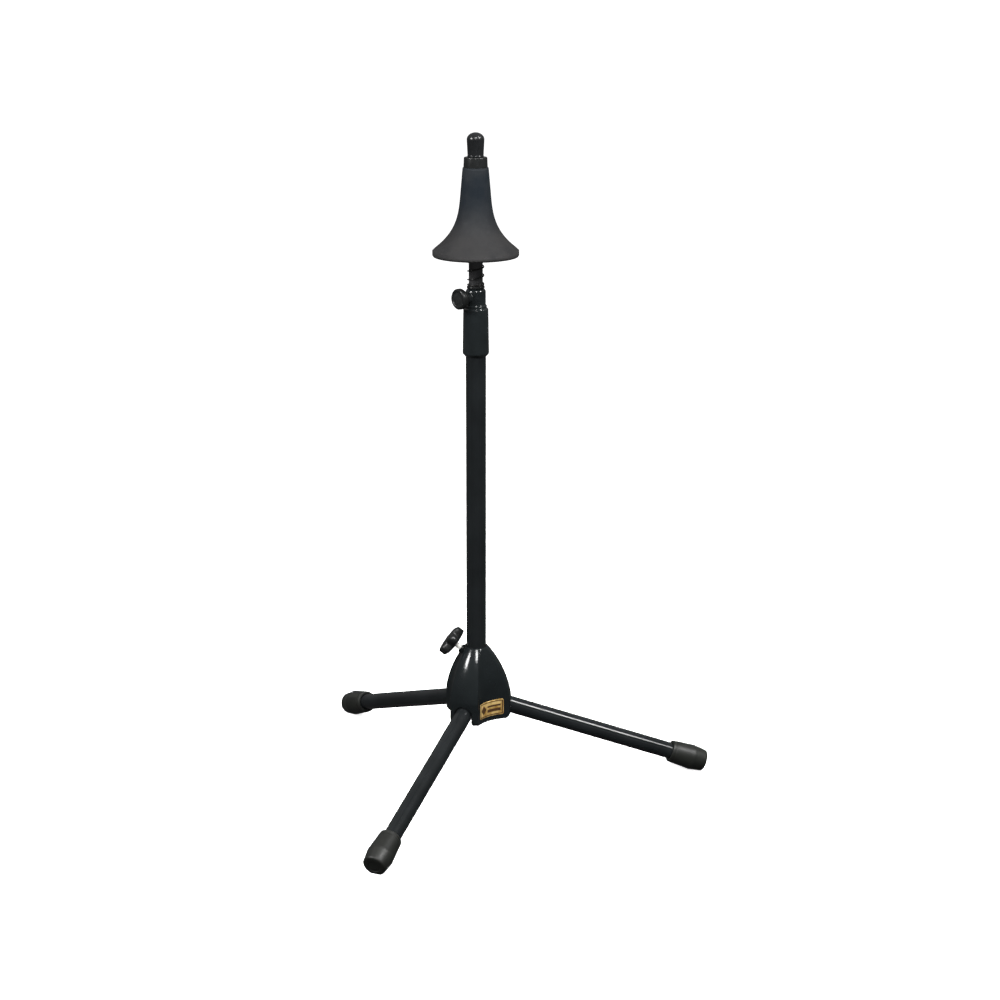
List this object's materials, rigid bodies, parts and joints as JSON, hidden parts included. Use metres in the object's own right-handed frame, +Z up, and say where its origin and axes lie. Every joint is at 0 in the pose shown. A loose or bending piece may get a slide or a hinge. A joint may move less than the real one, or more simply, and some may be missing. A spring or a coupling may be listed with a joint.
{
  "type": "trumpet stand",
  "caption": "Folding floor stand for a brass instrument: three-legged base, pole with clamping collar, and a telescoping rod with a sprung bell-shaped cone and peg.",
  "frame": {"origin": "on the floor, on the pole's axis, midway between the three rubber feet", "axes": "+Z up along the pole; +X towards foot 1; the base lock's knob points towards -X"},
  "size_m": [0.4094, 0.4694, 0.733],
  "materials": {
    "cast_black": "glossy black paint on cast zinc",
    "tube_black": "glossy black powder coat on steel tube",
    "rod_black": "satin black powder coat",
    "gloss_black": "glossy moulded plastic",
    "moulded_black": "satin moulded plastic",
    "cone_rubber": "matte soft rubber",
    "foot_rubber": "matte rubber",
    "spring_black": "blackened spring steel",
    "chrome": "bright plated steel",
    "steel": "plain steel",
    "brass": "turned brass",
    "nylon": "natural nylon",
    "gold_label": "metallic gold foil label"
  },
  "bodies": {
    "base": {"base_housing": "cast_black", "housing_bush": "nylon", "lock_insert": "cast_black", "base_label": "gold_label", "pivot_pin_1": "cast_black", "pivot_pin_2": "cast_black", "pivot_pin_3": "cast_black"},
    "leg_1": {"leg_tube_1": "tube_black", "leg_knuckle_1": "cast_black", "leg_rivet_1": "steel", "rubber_foot_1": "foot_rubber"},
    "leg_2": {"leg_tube_2": "tube_black", "leg_knuckle_2": "cast_black", "leg_rivet_2": "steel", "rubber_foot_2": "foot_rubber"},
    "leg_3": {"leg_tube_3": "tube_black", "leg_knuckle_3": "cast_black", "leg_rivet_3": "steel", "rubber_foot_3": "foot_rubber"},
    "lock_shoe": {"lock_pad": "nylon"},
    "lock_screw": {"lock_bolt": "chrome", "lock_knob": "moulded_black"},
    "pole": {"pole_tube": "tube_black", "pole_spool": "moulded_black", "spool_pin": "steel", "collar_body": "gloss_black", "collar_insert": "brass"},
    "height_shoe": {"height_pad": "nylon"},
    "height_screw": {"height_screw": "steel", "height_knob": "moulded_black"},
    "rod": {"inner_rod": "rod_black", "rod_guide": "nylon", "guide_rivet": "steel", "spring_seat": "moulded_black", "cone_spring": "spring_black", "tip_cap": "gloss_black"},
    "cone": {"cone_core": "moulded_black", "bell_cone": "cone_rubber"}
  },
  "joints": [
    {"name": "pole_lift", "type": "slide", "parent": "base", "child": "pole", "axis": [0, 0, 1], "range_m": [0, 0.01497]},
    {"name": "leg_fold_1", "type": "hinge", "parent": "base", "child": "leg_1", "pos_m": [0.024, 0, 0.09552], "axis": [0, 1, 0], "range_deg": [0, 70.4]},
    {"name": "leg_fold_2", "type": "hinge", "parent": "base", "child": "leg_2", "pos_m": [-0.012, 0.02079, 0.09552], "axis": [-0.866, -0.5, 0], "range_deg": [0, 70.4]},
    {"name": "leg_fold_3", "type": "hinge", "parent": "base", "child": "leg_3", "pos_m": [-0.012, -0.02079, 0.09552], "axis": [0.866, -0.5, 0], "range_deg": [0, 70.4]},
    {"name": "lock_shoe_slide", "type": "slide", "parent": "base", "child": "lock_shoe", "axis": [-0.7765, 0.2081, 0.5948], "range_m": [0, 0.00151]},
    {"name": "lock_turn", "type": "hinge", "parent": "lock_shoe", "child": "lock_screw", "pos_m": [0, 0, 0.14569], "axis": [-0.7765, 0.2081, 0.5948], "range_deg": [0, 540]},
    {"name": "height_shoe_slide", "type": "slide", "parent": "pole", "child": "height_shoe", "axis": [-0.8192, -0.5736, 0], "range_m": [0, 0.00121]},
    {"name": "height_turn", "type": "hinge", "parent": "height_shoe", "child": "height_screw", "pos_m": [0, 0, 0.55849], "axis": [-0.8192, -0.5736, 0], "range_deg": [0, 540]},
    {"name": "rod_lift", "type": "slide", "parent": "pole", "child": "rod", "axis": [0, 0, 1], "range_m": [0, 0.32]},
    {"name": "cone_sink", "type": "slide", "parent": "rod", "child": "cone", "axis": [0, 0, 1], "range_m": [-0.022, 0], "stiffness_N_per_m": 500, "springref_m": 0.02, "deforming": ["cone_spring"]}
  ],
  "couplings": [
    {"joint": "leg_fold_1", "follows": "pole_lift", "rad_per_m": 81.978},
    {"joint": "leg_fold_2", "follows": "pole_lift", "rad_per_m": 81.978},
    {"joint": "leg_fold_3", "follows": "pole_lift", "rad_per_m": 81.978},
    {"joint": "lock_shoe_slide", "follows": "lock_turn", "m_per_rad": 0.00015915},
    {"joint": "height_shoe_slide", "follows": "height_turn", "m_per_rad": 0.00012732}
  ]
}
